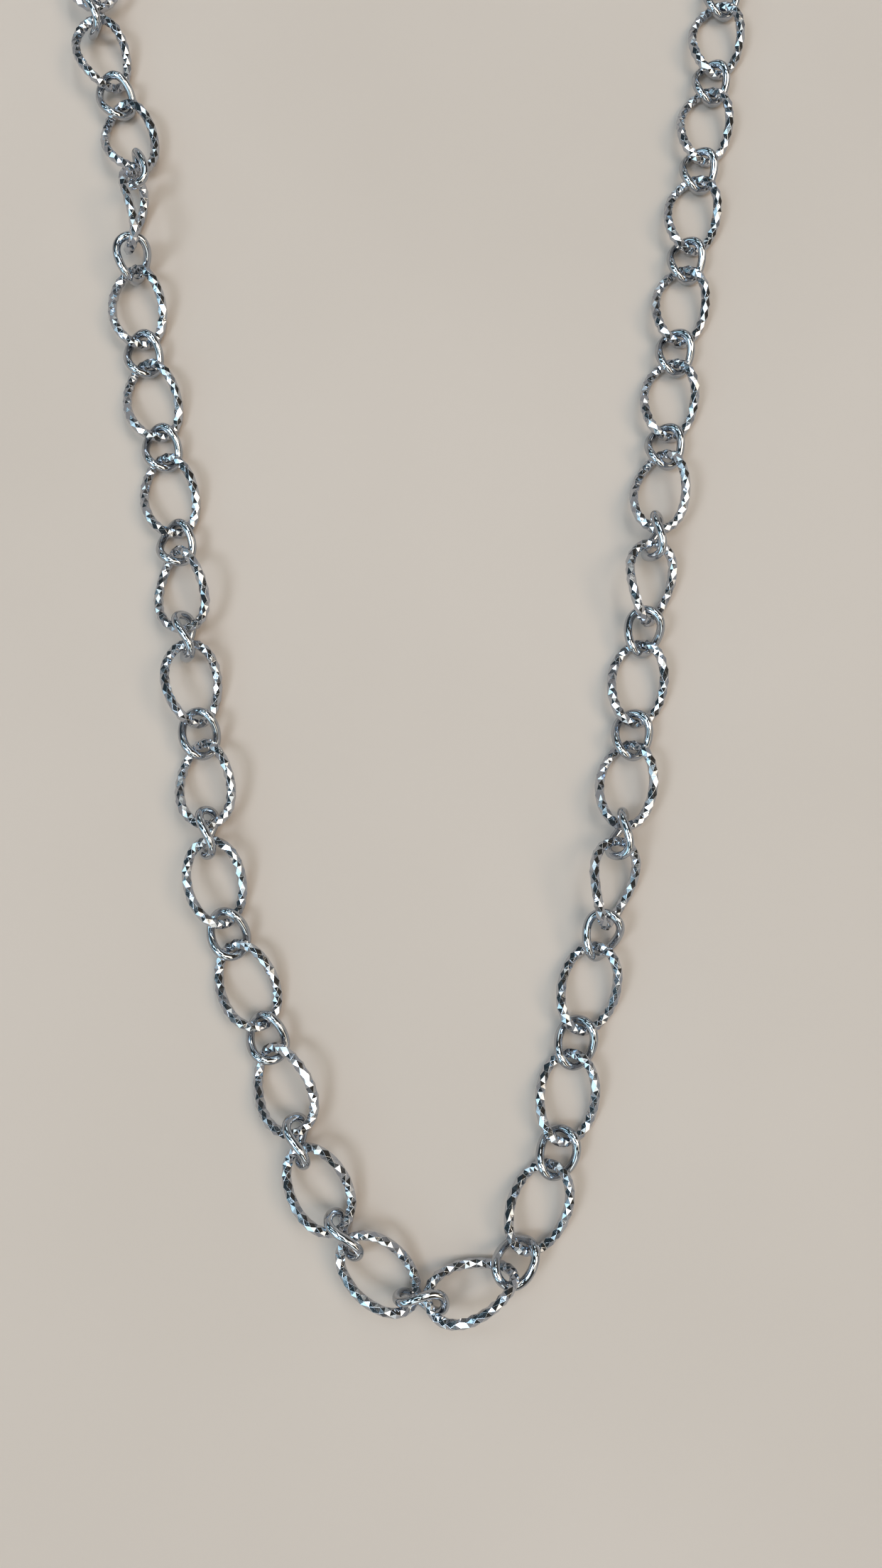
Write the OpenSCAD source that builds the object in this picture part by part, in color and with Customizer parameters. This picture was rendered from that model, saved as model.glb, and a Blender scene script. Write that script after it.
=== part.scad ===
// Chain necklace, unclasped and laid open on a flat surface.
// Large faceted oval links alternate with small smooth rings. Both are bent like curb links, so the chain lies flat.
// +X runs from the left strand to the right strand, +Y from the lowest link up to the clasp, +Z up off the surface.

/* [Large links] */
// Number of large links, an odd number, with the centre link in the middle
large_count = 39; // [37:2:39]
// Half the length of a large link, on its wire's centre line
large_half_length = 6.8; // [6.7:0.1:6.9]
// Half the width of a large link, on its wire's centre line
large_half_width = 4.3; // [4.2:0.1:4.4]
// Height of the curb bend of a large link
large_bend = 1.15; // [1.1:0.05:1.2]
// Radius of the large links' wire at its facet corners
large_wire = 0.82; // [0.75:0.01:0.83]

/* [Small rings] */
// Half the length of a small ring, on its wire's centre line
ring_half_length = 3.7; // [3.6:0.1:3.8]
// Half the width of a small ring, on its wire's centre line
ring_half_width = 2.75; // [2.7:0.05:2.8]
// Height of the curb bend of a small ring
ring_bend = 0.95; // [0.9:0.05:1]
// Radius of the small rings' wire
ring_wire = 0.68; // [0.6:0.01:0.69]

/* [Chain] */
// Distance between the end wires of two neighbours, centre to centre
overlap = 1.7; // [1.65:0.05:1.8]
// Extra overlap where one neighbour is rolled a quarter turn
slack = 0.9; // [0.8:0.05:1]

/* [Clasp] */
// Radius of the clasp's jump ring, on its wire's centre line
jump_radius = 2.6; // [2.5:0.1:2.7]
// Radius of the jump ring's wire
jump_wire = 0.5; // [0.45:0.05:0.5]
// Radius of the end ring, on its wire's centre line
end_radius = 3.2; // [3:0.1:3.4]
// Radius of the end ring's wire
end_wire = 0.6; // [0.5:0.05:0.65]
// Thickness of the clasp's casing
clasp_thick = 3.2; // [3:0.1:3.4]
// Thickness of the clasp's lever
lever_thick = 1.5; // [1.3:0.1:1.5]
// Gap on each face of the lever
lever_gap = 0.1; // [0.08:0.01:0.12]
// Radius of the lever's pin
pin_radius = 0.45; // [0.4:0.05:0.5]
// Radial clearance of the lever on its pin
pin_play = 0.05; // [0.03:0.01:0.08]

/* [Hidden] */
silver = "#c9ccd2";
side_count = (large_count - 1) / 2;
pair_count = side_count - 1;

// The line on which the chain lies, from the left end to the right end, in mm from the point below the middle
route = [
    [-22, 274], [-36, 256], [-49, 234], [-59, 208], [-63, 179], [-61, 162], [-54, 142], [-53, 114], [-46, 80],
    [-41, 47], [-38, 30], [-36, 12], [-24, -19], [-21, -30], [-19, -33], [-9, -47], [3, -49], [12, -43], [20, -22],
    [20, -16], [28, 17], [35, 66], [42, 117], [50, 168], [54, 200], [57, 232], [58, 262], [55, 292], [50, 308]
];
// The route's point at the centre link, and how far past it the link's middle lies
centre_point = 16;
centre_shift = 2;
// Middle of the outline, which is moved to the origin
outline_middle = [-2.4, 120.8];
// Samples of the curve between two route points
route_steps = 24;

// Pieces of the chain are numbered along the route: 0 is the end ring, odd numbers are large links,
// even numbers are small rings, then the clasp's jump ring and the clasp.
chain_pieces = 2 * large_count - 1;
jump_index = chain_pieces + 1;
clasp_index = jump_index + 1;
centre_index = large_count;

// Roll of a piece about its own length, in degrees, where it isn't flat: [piece, roll].
// A rolled small ring carries a half turn of twist between two large links.
rolls = [
    [0, 50], [9, -10], [10, -90], [11, 18], [12, 2], [14, -50], [15, -88], [16, 40], [17, 2],
    [22, -8], [23, -22], [24, -90], [25, 24], [26, 8], [27, -10], [28, -88], [29, 13],
    [32, -8], [33, -14], [34, -95], [35, 3], [36, -86], [37, 10], [38, -69], [39, 39], [40, 15],
    [46, -20], [47, -41], [48, 78], [49, 8], [52, -12], [53, -33], [54, -95], [55, 16], [56, 4],
    [jump_index, -60]
];

// The clasp's own measures, from the middle of its eye
clasp_length = 13;
end_reach = 1.75;
eye_play = 0.2;
eye_hole = 1.25;
eye_radius = 2.3;
eye_thick = 1.8;
neck_radius = 1.7;
body_y = 4.4;
body_radius = 2.5;
hook_y = 9.2;
hook_hole = 2.3;
hook_radius = 3.7;
pin_x = -0.9;
pin_y = 4.6;

// Stations round a wire and sides of its section
large_stations = 26;
large_sides = 6;
ring_stations = 20;
ring_sides = 7;
round_faces = 48;

// Where the chain lies

function route_point(i) =
    i < 0 ? 2 * route[0] - route[1] : i >= len(route) ? 2 * route[len(route) - 1] - route[len(route) - 2] : route[i];
function curve_point(i, t) =
    let (a = route_point(i - 1), b = route_point(i), c = route_point(i + 1), d = route_point(i + 2))
    0.5 * (2 * b + (c - a) * t + (2 * a - 5 * b + 4 * c - d) * t * t + (3 * b - a - 3 * c + d) * t * t * t);
curve = [for (i = [0:len(route) - 2], k = [0:route_steps - 1]) curve_point(i, k / route_steps)];
// Length along the curve at each sample, and where the samples lie against it
lengths = [for (i = 0, s = 0; i < len(curve); i = i + 1, s = s + (i < len(curve) ? norm(curve[i] - curve[i - 1]) : 0)) s];
x_table = [for (i = [0:len(curve) - 1]) [lengths[i], curve[i][0] - outline_middle[0]]];
y_table = [for (i = [0:len(curve) - 1]) [lengths[i], curve[i][1] - outline_middle[1]]];

function is_large(p) = p % 2 == 1 && p <= chain_pieces;
function is_small(p) = p % 2 == 0 && p > 0 && p < chain_pieces;
function half_length(p) =
    is_large(p) ? large_half_length : is_small(p) ? ring_half_length : p == 0 ? end_radius : jump_radius;
function half_width(p) =
    is_large(p) ? large_half_width : is_small(p) ? ring_half_width : p == 0 ? end_radius : jump_radius;
function bend(p) = is_large(p) ? large_bend : is_small(p) ? ring_bend : 0;
function wire(p) = is_large(p) ? large_wire : is_small(p) ? ring_wire : p == 0 ? end_wire : jump_wire;
function roll(p) = let (hit = [for (r = rolls) if (r[0] == p) r[1]]) len(hit) > 0 ? hit[0] : 0;

// How far neighbours p and p + 1 reach into each other
function reach(p) =
    p == 0 || p == chain_pieces ? end_reach : overlap + slack * abs(sin(roll(p) - roll(p + 1)));
// Length of route that a piece takes up, from one contact to the next
function span(p) =
    p == clasp_index ? clasp_length
    : p == jump_index ? 2 * jump_radius - end_reach
    : 2 * half_length(p) - reach(max(p - 1, 0)) / 2 - reach(p) / 2;
spans = [for (p = [0:clasp_index]) span(p)];
before = [for (p = 0, s = 0; p <= clasp_index; s = s + spans[p], p = p + 1) s];
centre_length = lengths[centre_point * route_steps] + centre_shift;
first_length = centre_length - before[centre_index] - spans[centre_index] / 2;
function start_of(p) = first_length + before[p];

// Height of a piece's middle when its lowest wire rests on the surface
function rest_height(p) =
    p == clasp_index ? clasp_thick / 2 + 0.1
    : wire(p) + max([
        for (t = [0:5:355]) half_width(p) * cos(t) * sin(roll(p)) + bend(p) * sin(2 * t) * cos(roll(p))
    ]);
function contact_height(p) =
    p < 0 ? rest_height(0)
    : p >= clasp_index ? rest_height(clasp_index)
    : max(rest_height(p), rest_height(p + 1));
function on_route(s, z) = [lookup(s, x_table), lookup(s, y_table), z];
function contact_before(p) = on_route(start_of(p), contact_height(p - 1));
function contact_after(p) = on_route(start_of(p) + spans[p], contact_height(p));

// A piece's own frame: its length along Y, rolled about it
module at_piece(p, at_start = false) {
    from = contact_before(p);
    to = contact_after(p);
    along = (to - from) / norm(to - from);
    flat = cross(along, [0, 0, 1]) / norm(cross(along, [0, 0, 1]));
    up = cross(flat, along);
    across = flat * cos(roll(p)) + up * sin(roll(p));
    out = up * cos(roll(p)) - flat * sin(roll(p));
    at = at_start ? from : (from + to) / 2;
    multmatrix([
        [across[0], along[0], out[0], at[0]],
        [across[1], along[1], out[1], at[1]],
        [across[2], along[2], out[2], at[2]],
        [0, 0, 0, 1]
    ]) children();
}

// Links

function loop_point(a, b, h, t) = [b * cos(t), a * sin(t), h * sin(2 * t)];
function loop_along(a, b, h, t) =
    let (v = [-b * sin(t), a * cos(t), 2 * h * cos(2 * t)]) v / norm(v);
function section_point(a, b, h, r, t, turn) =
    let (along = loop_along(a, b, h, t), side = cross(along, [0, 0, 1]), out = side / norm(side))
    loop_point(a, b, h, t) + r * (cos(turn) * out + sin(turn) * cross(out, along));

// A closed wire loop. Every second station is turned by half a side when stagger is 0.5, which cuts the wire into
// triangular facets.
module wire_loop(a, b, h, r, stations, sides, stagger) {
    points = [
        for (k = [0:stations - 1], j = [0:sides - 1])
            section_point(a, b, h, r, 360 * k / stations, 360 * (j + stagger * (k % 2)) / sides)
    ];
    function at(k, j) = (k % stations) * sides + j % sides;
    faces = [
        for (k = [0:stations - 1], j = [0:sides - 1], half = [0, 1])
            k % 2 == 0
            ? (half == 0 ? [at(k, j), at(k + 1, j), at(k, j + 1)] : [at(k, j + 1), at(k + 1, j), at(k + 1, j + 1)])
            : (half == 0 ? [at(k, j), at(k + 1, j), at(k + 1, j + 1)] : [at(k, j), at(k + 1, j + 1), at(k, j + 1)])
    ];
    polyhedron(points, faces);
}

module large_link(p) {
    color(silver) at_piece(p)
        wire_loop(large_half_length, large_half_width, large_bend, large_wire, large_stations, large_sides, 0.5);
}

module small_ring(p) {
    color(silver) at_piece(p)
        wire_loop(ring_half_length, ring_half_width, ring_bend, ring_wire, ring_stations, ring_sides, 0);
}

module round_ring(radius, wire_radius) {
    rotate_extrude($fn = round_faces) translate([radius, 0]) circle(wire_radius, $fn = round_faces);
}

// The lowest link with both of its small rings
module centre_links() {
    small_ring(centre_index - 1);
    large_link(centre_index);
    small_ring(centre_index + 1);
}

// Pair n of a strand, counted from the centre: a large link and the small ring on its outer end
module link_pair(side, n) {
    large_link(centre_index + side * 2 * n);
    if (n < side_count) small_ring(centre_index + side * (2 * n + 1));
}

module end_ring() {
    color(silver) at_piece(0) round_ring(end_radius, end_wire);
}

// Clasp: a lobster clasp with its eye at the origin and its hook towards +Y. The jump ring's wire passes through
// the eye.

module at_clasp() {
    at_piece(clasp_index, true) translate([0, end_reach / 2 + eye_play, 0]) children();
}

module clasp_jump_ring() {
    color(silver) at_piece(jump_index) round_ring(jump_radius, jump_wire);
}

module clasp_outline() {
    difference() {
        union() {
            hull() {
                translate([0, 2]) circle(neck_radius, $fn = round_faces);
                translate([0, body_y]) circle(body_radius, $fn = round_faces);
            }
            hull() {
                translate([0.6, body_y]) circle(body_radius - 0.6, $fn = round_faces);
                translate([2.2, hook_y - 1.5]) circle(1.1, $fn = round_faces);
            }
            difference() {
                translate([0, hook_y]) circle(hook_radius, $fn = round_faces);
                mouth();
            }
        }
        translate([0, hook_y]) circle(hook_hole, $fn = round_faces);
    }
}

// The side of the hook that the lever closes
module mouth() {
    translate([0, hook_y])
        polygon([[0, 0], [-8, 3.6], [-8, -8], [0.2, -8]]);
}

module clasp_body() {
    slot = lever_thick / 2 + lever_gap;
    color(silver) at_clasp() difference() {
        union() {
            translate([0, 0, -clasp_thick / 2]) linear_extrude(clasp_thick) clasp_outline();
            translate([0, 0, -eye_thick / 2]) cylinder(r = eye_radius, h = eye_thick, $fn = round_faces);
        }
        translate([0, 0, -eye_thick]) cylinder(r = eye_hole, h = 2 * eye_thick, $fn = round_faces);
        for (s = [-1, 1]) translate([0, 0, s * eye_thick]) translate([0, 0, -eye_thick / 2])
            cylinder(r = eye_radius + 0.2, h = eye_thick, $fn = round_faces);
        translate([-4.5, 2.5, -slot]) cube([5.6, 5.1, 2 * slot]);
        translate([pin_x, pin_y, -clasp_thick]) cylinder(r = pin_radius, h = 2 * clasp_thick, $fn = round_faces);
    }
}

module clasp_lever() {
    color(silver) at_clasp() translate([0, 0, -lever_thick / 2]) difference() {
        linear_extrude(lever_thick) union() {
            translate([pin_x, pin_y]) circle(1.2, $fn = round_faces);
            hull() {
                translate([pin_x, pin_y]) circle(0.9, $fn = round_faces);
                translate([-3, 7.4]) circle(0.65, $fn = round_faces);
            }
            hull() {
                translate([-3, 7.4]) circle(0.65, $fn = round_faces);
                translate([-3.05, hook_y + 0.6]) circle(0.6, $fn = round_faces);
            }
            hull() {
                translate([pin_x, pin_y]) circle(0.8, $fn = round_faces);
                translate([-3.7, 4.6]) circle(0.6, $fn = round_faces);
            }
        }
        translate([pin_x, pin_y, -1])
            cylinder(r = pin_radius + pin_play, h = lever_thick + 2, $fn = round_faces);
    }
}

module clasp_pin() {
    color(silver) at_clasp() translate([pin_x, pin_y, -clasp_thick / 2])
        cylinder(r = pin_radius, h = clasp_thick, $fn = round_faces);
}

// A short coil in the casing, beside the lever's pin
module clasp_spring() {
    color(silver) at_clasp() translate([0.65, 5.9, 0])
        for (k = [-1, 0, 1]) translate([0, 0, 0.42 * k]) round_ring(0.3, 0.12);
}

function two_digits(n) = n < 10 ? str("0", n) : str(n);
function pair_name(side, n) =
    str(side < 0 ? "left" : "right", n == side_count ? "_end_link" : str("_pair_", two_digits(n)));

centre_links();
for (side = [-1, 1], n = [1:side_count])
    link_pair(side, n);
end_ring();
clasp_jump_ring();
clasp_body();
clasp_lever();
clasp_pin();
clasp_spring();
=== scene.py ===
import math
import random

import bmesh
import bpy
from mathutils import Matrix, Vector


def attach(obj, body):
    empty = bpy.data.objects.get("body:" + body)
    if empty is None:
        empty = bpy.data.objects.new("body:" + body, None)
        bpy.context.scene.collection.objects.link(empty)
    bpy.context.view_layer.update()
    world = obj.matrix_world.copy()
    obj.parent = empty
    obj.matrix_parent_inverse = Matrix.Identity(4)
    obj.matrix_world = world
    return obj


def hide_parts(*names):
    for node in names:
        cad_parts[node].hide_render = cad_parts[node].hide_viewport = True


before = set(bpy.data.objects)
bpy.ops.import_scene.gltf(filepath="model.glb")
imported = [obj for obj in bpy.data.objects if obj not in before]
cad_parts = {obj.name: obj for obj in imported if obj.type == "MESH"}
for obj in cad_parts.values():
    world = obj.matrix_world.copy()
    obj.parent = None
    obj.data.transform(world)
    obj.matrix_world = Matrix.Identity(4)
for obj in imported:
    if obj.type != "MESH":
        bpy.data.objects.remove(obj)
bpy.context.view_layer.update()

MM = 0.001

# Sizes and route, as in part.scad, in mm. A link's wire has the radius r, and its middle reaches
# a along the link, b across it and h out of its plane.
LARGE_COUNT = 39
LARGE = dict(a=6.8, b=4.3, h=1.15, r=0.82)
RING = dict(a=3.7, b=2.75, h=0.95, r=0.68)
END_RING = dict(a=3.2, b=3.2, h=0.0, r=0.6)
JUMP_RING = dict(a=2.6, b=2.6, h=0.0, r=0.5)
OVERLAP = 1.7
SLACK = 0.9
END_REACH = 1.75
CLASP_THICK = 3.2
CLASP_GAP = 0.1
ROUTE = [
    (-22, 274), (-36, 256), (-49, 234), (-59, 208), (-63, 179), (-61, 162), (-54, 142),
    (-53, 114), (-46, 80), (-41, 47), (-38, 30), (-36, 12), (-24, -19), (-21, -30), (-19, -33),
    (-9, -47), (3, -49), (12, -43), (20, -22), (20, -16), (28, 17), (35, 66), (42, 117),
    (50, 168), (54, 200), (57, 232), (58, 262), (55, 292), (50, 308),
]
CENTRE_POINT = 16
CENTRE_SHIFT = 2
ROUTE_STEPS = 24

# The middle of the whole outline on the route's axes, which is the frame's origin
OUTLINE_MIDDLE = (-2.4, 120.8)

# Pieces are numbered from the left end: 0 is the end ring, the odd numbers up to LAST are the
# large links, the even ones between them are the small rings, JUMP is the jump ring and CLASP
# is the clasp. CENTRE is the lowest large link.
LAST = 2 * LARGE_COUNT - 1
JUMP = LAST + 1
CLASP = JUMP + 1
CENTRE = LARGE_COUNT
SIDE_COUNT = (LARGE_COUNT - 1) // 2

# Pieces turned about their own length, in degrees
ROLLS = {
    0: 50, 9: -10, 10: -90, 11: 18, 12: 2, 14: -50, 15: -88, 16: 40, 17: 2,
    22: -8, 23: -22, 24: -90, 25: 24, 26: 8, 27: -10, 28: -88, 29: 13,
    32: -8, 33: -14, 34: -95, 35: 3, 36: -86, 37: 10, 38: -69, 39: 39, 40: 15,
    46: -20, 47: -41, 48: 78, 49: 8, 52: -12, 53: -33, 54: -95, 55: 16, 56: 4,
    JUMP: -60,
}


def size_of(p):
    if p == 0:
        return END_RING
    if p == JUMP:
        return JUMP_RING
    return LARGE if p % 2 else RING


def roll(p):
    return ROLLS.get(p, 0)


def reach(p):
    """How far piece p and piece p + 1 overlap, from one middle of the wire to the other."""
    if p in (0, LAST):
        return END_REACH
    return OVERLAP + SLACK * abs(math.sin(math.radians(roll(p) - roll(p + 1))))


def span(p):
    """How much of the route a piece takes, from contact to contact."""
    if p == JUMP:
        return 2 * JUMP_RING["a"] - END_REACH
    return 2 * size_of(p)["a"] - reach(max(p - 1, 0)) / 2 - reach(p) / 2


def route_point(i):
    """Point i of the route, carried on in a straight line past each end."""
    if i < 0:
        return 2 * Vector(ROUTE[0]) - Vector(ROUTE[1])
    if i >= len(ROUTE):
        return 2 * Vector(ROUTE[-1]) - Vector(ROUTE[-2])
    return Vector(ROUTE[i])


def curve_point(i, t):
    """A point on the smooth curve through the route, t of the way from point i to the next."""
    a, b, c, d = (route_point(i + k) for k in (-1, 0, 1, 2))
    bend = 2 * a - 5 * b + 4 * c - d
    twist = 3 * b - a - 3 * c + d
    return 0.5 * (2 * b + (c - a) * t + bend * t * t + twist * t ** 3)


CURVE = [
    curve_point(i, k / ROUTE_STEPS) for i in range(len(ROUTE) - 1) for k in range(ROUTE_STEPS)
]
LENGTHS = [0.0]
for before, after in zip(CURVE, CURVE[1:]):
    LENGTHS.append(LENGTHS[-1] + (after - before).length)
SPANS = [span(p) for p in range(CLASP)]
centre_length = LENGTHS[CENTRE_POINT * ROUTE_STEPS] + CENTRE_SHIFT
STARTS = [centre_length - SPANS[CENTRE] / 2 - sum(SPANS[:CENTRE])]
for length in SPANS:
    STARTS.append(STARTS[-1] + length)


def on_route(s, z):
    """The point s along the route, at height z."""
    s = min(max(s, 0), LENGTHS[-1])
    i = max(k for k in range(len(CURVE) - 1) if LENGTHS[k] <= s)
    p = CURVE[i].lerp(CURVE[i + 1], (s - LENGTHS[i]) / (LENGTHS[i + 1] - LENGTHS[i]))
    return Vector((p.x - OUTLINE_MIDDLE[0], p.y - OUTLINE_MIDDLE[1], z))


def rest_height(p):
    """The height of a piece's middle when it rests on the surface."""
    if p == CLASP:
        return CLASP_THICK / 2 + CLASP_GAP
    n, r = size_of(p), math.radians(roll(p))
    turns = [math.radians(t) for t in range(0, 360, 5)]
    return n["r"] + max(
        n["b"] * math.cos(t) * math.sin(r) + n["h"] * math.sin(2 * t) * math.cos(r)
        for t in turns
    )


def contact(p):
    """Where piece p meets piece p + 1."""
    z = max(rest_height(q) for q in (p, p + 1) if 0 <= q <= CLASP)
    return on_route(STARTS[p + 1], z)


def place(p):
    """A piece's own frame: its length along Y, rolled about it."""
    start, end = contact(p - 1), contact(p)
    along = (end - start).normalized()
    flat = along.cross(Vector((0, 0, 1))).normalized()
    up = flat.cross(along)
    r = math.radians(roll(p))
    across = flat * math.cos(r) + up * math.sin(r)
    out = up * math.cos(r) - flat * math.sin(r)
    at = (start + end) / 2
    return Matrix((
        (across.x, along.x, out.x, at.x),
        (across.y, along.y, out.y, at.y),
        (across.z, along.z, out.z, at.z),
        (0, 0, 0, 1),
    ))


# Meshes

# A large link's wire has thick and thin stations by turns, as shares of its radius. A point
# drifts by up to a share of the step to the next station or side. Edges are in mm.
FACET_STATIONS = 48
FACET_SIDES = 6
STATION_DRIFT = 0.2
SIDE_DRIFT = 0.16
THICK = (1.0, 1.05)
THIN = (0.88, 0.95)
FACET_EDGE = 0.02
FIRST_SEED = 1000

# A ring's wire is drawn a little fuller than the CAD part's
RING_STATIONS = 72
END_RING_STATIONS = 96
RING_SIDES = 20
RING_FULLNESS = 1.03


def wire_point(n, t, turn, radius):
    """A point on a link's wire: t goes round the link and turn goes round the wire, in radians."""
    middle = Vector((n["b"] * math.cos(t), n["a"] * math.sin(t), n["h"] * math.sin(2 * t)))
    along = Vector((-n["b"] * math.sin(t), n["a"] * math.cos(t), 2 * n["h"] * math.cos(2 * t)))
    along.normalize()
    out = along.cross(Vector((0, 0, 1))).normalized()
    return middle + radius * (math.cos(turn) * out + math.sin(turn) * out.cross(along))


def make_object(name, points, faces, at, smooth):
    """A new object. The points are in mm, in the frame at."""
    mesh = bpy.data.meshes.new(name)
    mesh.from_pydata([at @ Vector(p) * MM for p in points], [], faces)
    mesh.validate()
    mesh.polygons.foreach_set("use_smooth", [smooth] * len(mesh.polygons))
    mesh.update()
    piece = bpy.data.objects.new(name, mesh)
    bpy.context.scene.collection.objects.link(piece)
    return piece


def bevel(piece, width, segments, angle):
    """Softens the edges sharper than the angle, in degrees. The width is in mm."""
    m = piece.modifiers.new("edges", "BEVEL")
    m.width = width * MM
    m.segments = segments
    m.limit_method = "ANGLE"
    m.angle_limit = math.radians(angle)
    m.harden_normals = True


def faceted_link(p, name):
    """A large link, whose wire is cut into flat triangular facets of uneven size."""
    dice = random.Random(FIRST_SEED + p)
    points = []
    for k in range(FACET_STATIONS):
        for j in range(FACET_SIDES):
            station = k + dice.uniform(-STATION_DRIFT, STATION_DRIFT)
            side = j + 0.5 * (k % 2) + dice.uniform(-SIDE_DRIFT, SIDE_DRIFT)
            radius = LARGE["r"] * dice.uniform(*(THICK if k % 2 else THIN))
            t = 2 * math.pi * station / FACET_STATIONS
            points.append(wire_point(LARGE, t, 2 * math.pi * side / FACET_SIDES, radius))

    def at(k, j):
        return (k % FACET_STATIONS) * FACET_SIDES + j % FACET_SIDES

    faces = []
    for k in range(FACET_STATIONS):
        for j in range(FACET_SIDES):
            here, beside = at(k, j), at(k, j + 1)
            ahead, ahead_beside = at(k + 1, j), at(k + 1, j + 1)
            if k % 2 == 0:
                faces += [(here, ahead, beside), (beside, ahead, ahead_beside)]
            else:
                faces += [(here, ahead, ahead_beside), (here, ahead_beside, beside)]
    piece = make_object(name, points, faces, place(p), False)
    bevel(piece, FACET_EDGE, segments=1, angle=8)
    return piece


def smooth_ring(p, name, stations):
    """A small ring, end ring or jump ring of plain polished wire."""
    n = size_of(p)
    radius = n["r"] * RING_FULLNESS
    points = [
        wire_point(n, 2 * math.pi * k / stations, 2 * math.pi * j / RING_SIDES, radius)
        for k in range(stations) for j in range(RING_SIDES)
    ]

    def at(k, j):
        return (k % stations) * RING_SIDES + j % RING_SIDES

    faces = [
        (at(k, j), at(k + 1, j), at(k + 1, j + 1), at(k, j + 1))
        for k in range(stations) for j in range(RING_SIDES)
    ]
    return make_object(name, points, faces, place(p), True)


# Materials

# Features are about 1 / scale metres across, and the scratches' depth is in metres
CLOUD_SCALE = 260
CLOUD_BAND = (0.3, 0.7)
CLOUD_DARK = 0.9
SCRATCH_SCALE = 2400
SCRATCH_DEPTH = 0.00002


def new_material(name):
    m = bpy.data.materials.new(name)
    m.use_nodes = True
    nodes, links = m.node_tree.nodes, m.node_tree.links
    return m, nodes, links, nodes["Principled BSDF"]


def noise(nodes, links, where, scale, detail):
    node = nodes.new("ShaderNodeTexNoise")
    node.inputs["Scale"].default_value = scale
    node.inputs["Detail"].default_value = detail
    links.new(where, node.inputs["Vector"])
    return node.outputs["Fac"]


def ramp(nodes, links, value, band, low_colour, high_colour):
    """One colour below the band, another above it, and a blend within it."""
    node = nodes.new("ShaderNodeValToRGB")
    for stop, position, colour in zip(node.color_ramp.elements, band, (low_colour, high_colour)):
        stop.position = position
        stop.color = (*colour, 1)
    links.new(value, node.inputs["Fac"])
    return node.outputs["Color"]


def map_range(nodes, links, value, band, low=0.0, high=1.0, kind="LINEAR"):
    """The number low below the band, high above it, and a blend within it."""
    node = nodes.new("ShaderNodeMapRange")
    node.interpolation_type = kind
    node.inputs["From Min"].default_value, node.inputs["From Max"].default_value = band
    node.inputs["To Min"].default_value = low
    node.inputs["To Max"].default_value = high
    links.new(value, node.inputs["Value"])
    return node.outputs["Result"]


def silver(name, tint, rough_low, rough_high, scratch, seed):
    """Polished metal, with faint clouds in its colour and polish and fine scratches."""
    m, nodes, links, shader = new_material(name)
    shader.inputs["Metallic"].default_value = 1.0
    shift = nodes.new("ShaderNodeMapping")
    shift.inputs["Location"].default_value = (seed, seed * 0.7, seed * 0.3)
    where = nodes.new("ShaderNodeTexCoord").outputs["Object"]
    links.new(where, shift.inputs["Vector"])
    at = shift.outputs["Vector"]

    cloudy = noise(nodes, links, at, CLOUD_SCALE, detail=4)
    dark = tuple(c * CLOUD_DARK for c in tint)
    colour = ramp(nodes, links, cloudy, CLOUD_BAND, dark, tint)
    links.new(colour, shader.inputs["Base Color"])
    rough = map_range(nodes, links, cloudy, CLOUD_BAND, rough_low, rough_high)
    links.new(rough, shader.inputs["Roughness"])

    bump = nodes.new("ShaderNodeBump")
    bump.inputs["Strength"].default_value = scratch
    bump.inputs["Distance"].default_value = SCRATCH_DEPTH
    fine = noise(nodes, links, at, SCRATCH_SCALE, detail=3)
    links.new(fine, bump.inputs["Height"])
    links.new(bump.outputs["Normal"], shader.inputs["Normal"])
    return m


FACETED = silver("faceted_silver", (0.52, 0.55, 0.6), 0.04, 0.1, 0.25, 3)
POLISHED = silver("polished_silver", (0.46, 0.49, 0.53), 0.03, 0.07, 0.2, 11)
CAST = silver("clasp_silver", (0.55, 0.57, 0.6), 0.1, 0.2, 0.3, 17)


# Pieces

# The clasp's rounded edges in mm, and in metres how close two points are one point
CASING_EDGE = 0.4
LEVER_EDGE = 0.25
SAME_POINT = 0.00001


def finish_piece(piece, material, body, node):
    """Gives a piece its material, and says which body it rides on and what node it replaces."""
    piece.data.materials.append(material)
    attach(piece, body)
    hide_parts(node)


def add_link(p, name, body, node):
    finish_piece(faceted_link(p, name), FACETED, body, node)


def add_ring(p, name, body, node):
    ring = smooth_ring(p, name, RING_STATIONS)
    finish_piece(ring, POLISHED, body, node)


def add_end_ring(p, name, body, node):
    ring = smooth_ring(p, name, END_RING_STATIONS)
    finish_piece(ring, POLISHED, body, node)


def cast_part(name, body, node, width):
    """A part of the clasp, in the CAD part's own shape with its edges rounded."""
    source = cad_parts[node]
    piece = bpy.data.objects.new(name, source.data.copy())
    piece.matrix_world = source.matrix_world
    bpy.context.scene.collection.objects.link(piece)
    shape = bmesh.new()
    shape.from_mesh(piece.data)
    bmesh.ops.remove_doubles(shape, verts=shape.verts, dist=SAME_POINT)
    bmesh.ops.dissolve_limit(
        shape, angle_limit=math.radians(1), verts=shape.verts, edges=shape.edges,
    )
    shape.to_mesh(piece.data)
    shape.free()
    piece.data.polygons.foreach_set("use_smooth", [True] * len(piece.data.polygons))
    piece.data.materials.clear()
    bevel(piece, width, segments=4, angle=40)
    finish_piece(piece, CAST, body, node)


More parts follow.
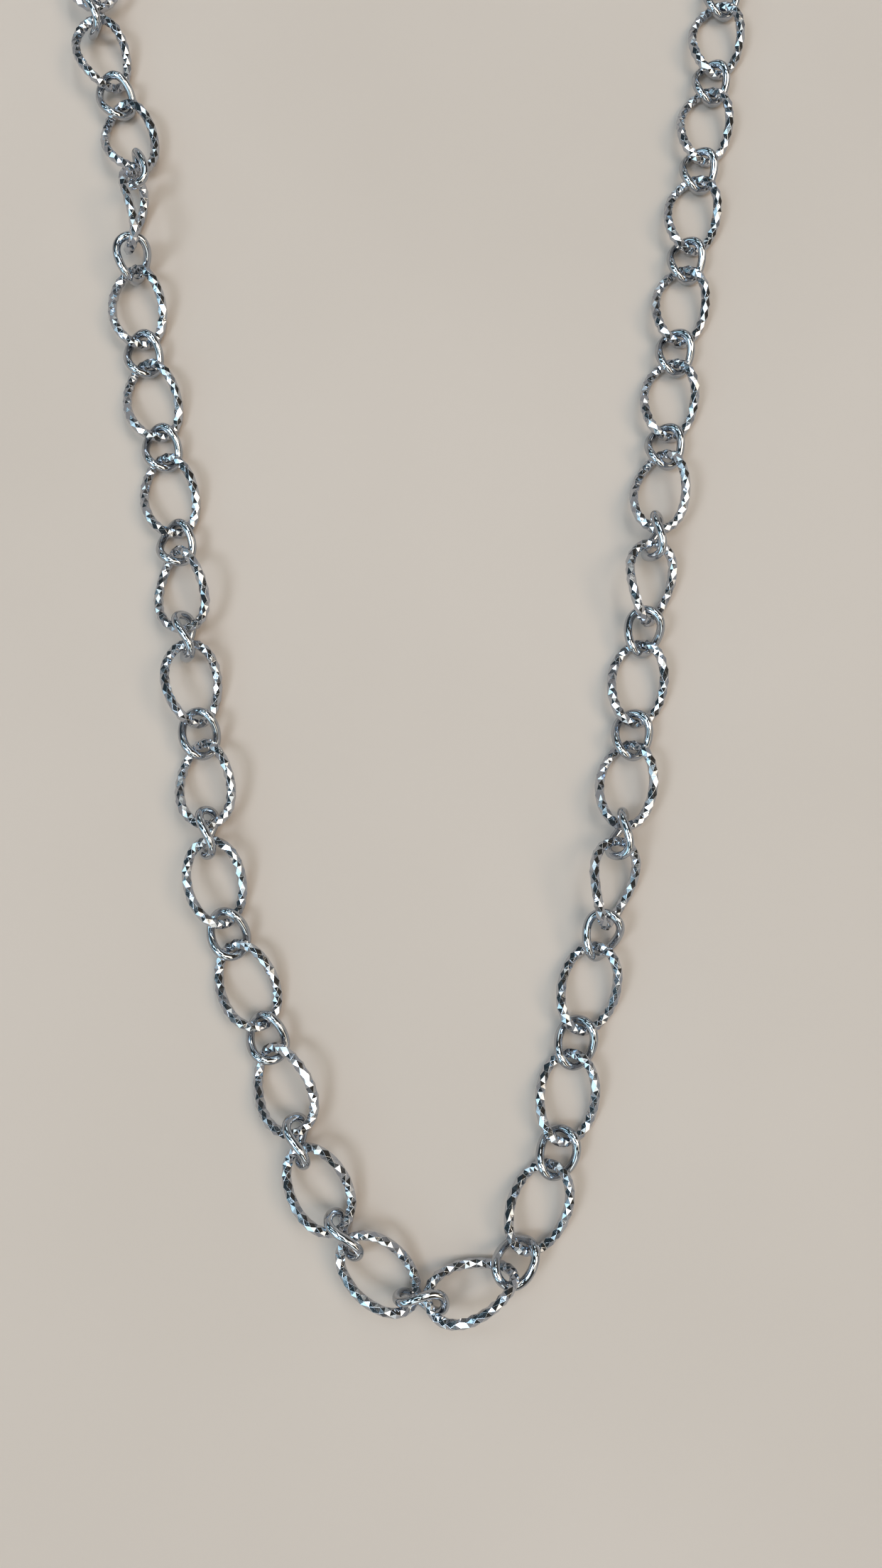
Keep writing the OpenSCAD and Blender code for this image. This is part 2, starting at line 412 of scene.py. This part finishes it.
add_link(CENTRE, "centre_large_link", "centre", "centre_links")
for side, word in ((-1, "left"), (1, "right")):
    add_ring(CENTRE + side, f"centre_small_ring_{word}", "centre", "centre_links")
    for n in range(1, SIDE_COUNT):
        pair = f"{word}_pair_{n:02d}"
        add_link(CENTRE + side * 2 * n, f"{word}_large_link_{n:02d}", pair, pair)
        add_ring(CENTRE + side * (2 * n + 1), f"{word}_small_ring_{n:02d}", pair, pair)
    end, outermost = f"{word}_end_link", CENTRE + side * 2 * SIDE_COUNT
    add_link(outermost, f"{word}_large_link_{SIDE_COUNT:02d}", end, end)

add_end_ring(0, "end_wire_ring", "end_ring", "end_ring")
add_end_ring(JUMP, "clasp_wire_ring", "clasp_jump_ring", "clasp_jump_ring")

cast_part("clasp_casing", "clasp", "clasp_body", CASING_EDGE)
cast_part("clasp_gate", "lever", "clasp_lever", LEVER_EDGE)
for node in ("clasp_pin", "clasp_spring"):
    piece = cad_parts[node]
    piece.data.materials.clear()
    piece.data.materials.append(CAST)


# The surface

# How far the floor reaches each way, in mm
FLOOR_REACH = 9000
FLOOR_DARK = (0.478, 0.417, 0.374)
FLOOR_LIGHT = (0.5, 0.437, 0.394)


def plain_floor():
    m, nodes, links, shader = new_material("pale_floor")
    shader.inputs["Roughness"].default_value = 0.85
    shader.inputs["Specular IOR Level"].default_value = 0.2
    where = nodes.new("ShaderNodeTexCoord").outputs["Object"]
    clouds = noise(nodes, links, where, scale=9, detail=3)
    colour = ramp(nodes, links, clouds, (0.35, 0.65), FLOOR_DARK, FLOOR_LIGHT)
    links.new(colour, shader.inputs["Base Color"])
    corners = [
        (x * FLOOR_REACH, y * FLOOR_REACH, 0) for x, y in ((-1, -1), (1, -1), (1, 1), (-1, 1))
    ]
    floor = make_object("floor", corners, [(0, 1, 2, 3)], Matrix.Identity(4), False)
    floor.data.materials.append(m)


plain_floor()


# Light

# The azimuth and elevation of each small lamp that glints on the facets
SPARKLES = [
    (180, 72), (150, 50), (230, 66), (95, 76), (20, 74), (-40, 60), (-75, 70), (75, 48),
]
COOL_SPARKLE = (0.7, 0.88, 1.0)
WARM_SPARKLE = (1.0, 0.93, 0.82)
SPARKLE_STRENGTH = 0.1
SPARKLE_SIZE = 7
LAMP_DISTANCE = 2

# The room: its patches of light, its cool and warm sides, and the heights below which it turns
# plain, from 0 at the horizon to 1 overhead
PATCH_SCALE = 2.6
PATCH_BAND = (0.53, 0.6)
ROOM_DARK = 0.06
PATCH_BRIGHT = 2.6
COOL_SIDE = (0.58, 0.86, 1.0)
WARM_SIDE = (1.0, 0.86, 0.68)
SIDE_BAND = (-0.6, 0.6)
PLAIN_BAND = (0.24, 0.42)
PLAIN_WALL = (0.42, 0.4, 0.385, 1)
BACKDROP = (0.6, 0.555, 0.505, 1)


def sun(name, azimuth, elevation, strength, colour, size):
    """A far lamp. Azimuth is where it stands: 0 is towards +X and 90 towards +Y. Its size is the
    angle it fills, in degrees, and a larger one is softer."""
    data = bpy.data.lights.new(name, "SUN")
    data.energy = strength
    data.color = colour
    data.angle = math.radians(size)
    lamp = bpy.data.objects.new(name, data)
    a, e = math.radians(azimuth), math.radians(elevation)
    towards = Vector((math.cos(a) * math.cos(e), math.sin(a) * math.cos(e), math.sin(e)))
    lamp.rotation_mode = "QUATERNION"
    lamp.rotation_quaternion = towards.to_track_quat("Z", "Y")
    lamp.location = towards * LAMP_DISTANCE
    bpy.context.scene.collection.objects.link(lamp)


sun("cool_left", 205, 54, 1.15, (0.78, 0.89, 1.0), 20)
sun("cool_back", 62, 64, 0.4, (0.82, 0.92, 1.0), 20)
sun("warm_right", -8, 52, 0.75, (1.0, 0.84, 0.66), 26)
for number, (azimuth, elevation) in enumerate(SPARKLES):
    tint = COOL_SPARKLE if 90 < azimuth < 270 else WARM_SPARKLE
    sun(f"sparkle_{number}", azimuth, elevation, SPARKLE_STRENGTH, tint, SPARKLE_SIZE)


def mix_colours(nodes):
    """A colour mix. Its colour sockets share their names with others, so they go by number."""
    node = nodes.new("ShaderNodeMix")
    node.data_type = "RGBA"
    return node.inputs[0], node.inputs[6], node.inputs[7], node.outputs[2]


def studio():
    """The room that the metal mirrors: dark, with soft patches of light, cool on the left and
    warm on the right. It is plain low down, and the camera sees a plain pale backdrop."""
    world = bpy.data.worlds.new("room")
    world.use_nodes = True
    nodes, links = world.node_tree.nodes, world.node_tree.links
    where = nodes.new("ShaderNodeTexCoord").outputs["Generated"]
    split = nodes.new("ShaderNodeSeparateXYZ")
    links.new(where, split.inputs["Vector"])

    patches = noise(nodes, links, where, PATCH_SCALE, detail=1)
    level = map_range(nodes, links, patches, PATCH_BAND, ROOM_DARK, PATCH_BRIGHT, "SMOOTHSTEP")
    side = map_range(nodes, links, split.outputs["X"], SIDE_BAND)
    tint = ramp(nodes, links, side, (0.0, 1.0), COOL_SIDE, WARM_SIDE)
    patch = nodes.new("ShaderNodeVectorMath")
    patch.operation = "SCALE"
    links.new(tint, patch.inputs["Vector"])
    links.new(level, patch.inputs["Scale"])

    height = map_range(nodes, links, split.outputs["Z"], PLAIN_BAND)
    factor, low_colour, high_colour, mirrored = mix_colours(nodes)
    links.new(height, factor)
    low_colour.default_value = PLAIN_WALL
    links.new(patch.outputs["Vector"], high_colour)

    is_camera, unseen, seen, colour = mix_colours(nodes)
    links.new(nodes.new("ShaderNodeLightPath").outputs["Is Camera Ray"], is_camera)
    links.new(mirrored, unseen)
    seen.default_value = BACKDROP
    links.new(colour, nodes["Background"].inputs["Color"])
    bpy.context.scene.world = world


studio()


# Camera

# The photograph was taken from above the lowest links, looking down and a little towards the
# clasp. The route's own origin is straight below the camera.
CAMERA_HEIGHT = 192.7
CAMERA_TILT = 9
camera_data = bpy.data.cameras.new("camera")
camera_data.sensor_width = 36
camera_data.lens = 27.2
camera_data.clip_start = 0.01
camera_data.clip_end = 50
camera = bpy.data.objects.new("camera", camera_data)
camera.location = (-OUTLINE_MIDDLE[0] * MM, -OUTLINE_MIDDLE[1] * MM, CAMERA_HEIGHT * MM)
camera.rotation_euler = (math.radians(CAMERA_TILT), 0, 0)
bpy.context.scene.collection.objects.link(camera)
bpy.context.scene.camera = camera
bpy.context.scene.view_settings.view_transform = "Standard"
